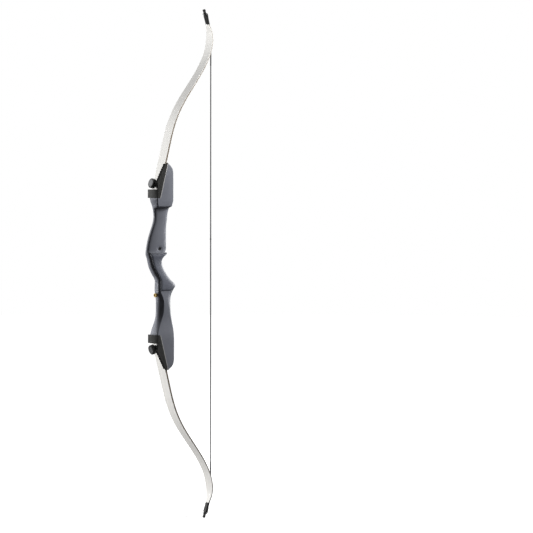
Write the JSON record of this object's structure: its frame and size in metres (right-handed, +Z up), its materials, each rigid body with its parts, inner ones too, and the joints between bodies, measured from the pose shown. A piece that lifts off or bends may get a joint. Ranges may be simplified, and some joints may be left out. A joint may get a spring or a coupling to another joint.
{
  "type": "recurve bow",
  "caption": "Strung takedown target recurve bow: moulded riser with grip, sight window and shelf, limbs in pockets held by hand-turned bolts, looped string.",
  "frame": {"origin": "deepest point of the grip, on the bow's middle plane, where the bow hand sits", "axes": "+Z up along the upper limb, +X towards the bowstring and archer, -X towards the target, -Y the side that the sight window is cut into"},
  "size_m": [0.2401, 0.05, 1.5818],
  "materials": {
    "riser_moulding": "satin, dark blue-grey, semi-gloss",
    "grip_moulding": "satin, darker blue-grey",
    "pocket_moulding": "fine matt black",
    "tip_moulding": "satin black",
    "limb_glass": "off-white glass laminate",
    "limb_wood": "maple laminate, clear coat",
    "cap_metal": "brushed, grey",
    "steel": "brushed",
    "dark_metal": "blackened",
    "brass": "turned",
    "string_fibre": "waxed twisted fibre",
    "serving_thread": "tight wound thread"
  },
  "bodies": {
    "bow": {"riser": "riser_moulding", "grip": "grip_moulding", "grip_screw": "steel", "plunger_bushing": "dark_metal", "sight_bushings": "brass", "stabiliser_bushing": "brass", "upper_limb_pocket": "pocket_moulding", "upper_pocket_screws": "steel", "upper_bolt_insert": "brass", "upper_locating_pin": "steel", "upper_limb_core": "limb_wood", "upper_limb_back_glass": "limb_glass", "upper_limb_belly_glass": "limb_glass", "upper_limb_tip": "tip_moulding", "upper_string_loop": "string_fibre", "upper_end_serving": "string_fibre", "lower_limb_pocket": "pocket_moulding", "lower_pocket_screws": "steel", "lower_bolt_insert": "brass", "lower_locating_pin": "steel", "lower_limb_core": "limb_wood", "lower_limb_back_glass": "limb_glass", "lower_limb_belly_glass": "limb_glass", "lower_limb_tip": "tip_moulding", "lower_string_loop": "string_fibre", "lower_end_serving": "string_fibre", "bowstring": "string_fibre", "centre_serving": "serving_thread", "nocking_point": "serving_thread"},
    "upper_washer": {"upper_bolt_washer": "steel"},
    "upper_knob_and_bolt": {"upper_limb_bolt": "steel", "upper_knob": "pocket_moulding", "upper_knob_cap": "cap_metal"},
    "lower_washer": {"lower_bolt_washer": "steel"},
    "lower_knob_and_bolt": {"lower_limb_bolt": "steel", "lower_knob": "pocket_moulding", "lower_knob_cap": "cap_metal"}
  },
  "joints": [
    {"name": "upper_bolt_travel", "type": "slide", "parent": "bow", "child": "upper_washer", "axis": [-0.9681, 0, 0.2504], "range_m": [0, 0.00625]},
    {"name": "upper_knob_turn", "type": "hinge", "parent": "upper_washer", "child": "upper_knob_and_bolt", "pos_m": [-0.0089, 0, 0.2322], "axis": [-0.9681, 0, 0.2504], "range_deg": [0, 1800]},
    {"name": "lower_bolt_travel", "type": "slide", "parent": "bow", "child": "lower_washer", "axis": [-0.9681, 0, -0.2504], "range_m": [0, 0.00625]},
    {"name": "lower_knob_turn", "type": "hinge", "parent": "lower_washer", "child": "lower_knob_and_bolt", "pos_m": [-0.0089, 0, -0.2662], "axis": [-0.9681, 0, -0.2504], "range_deg": [0, 1800]}
  ],
  "couplings": [
    {"joint": "upper_knob_turn", "follows": "upper_bolt_travel", "rad_per_m": 5026.5},
    {"joint": "lower_knob_turn", "follows": "lower_bolt_travel", "rad_per_m": 5026.5}
  ]
}
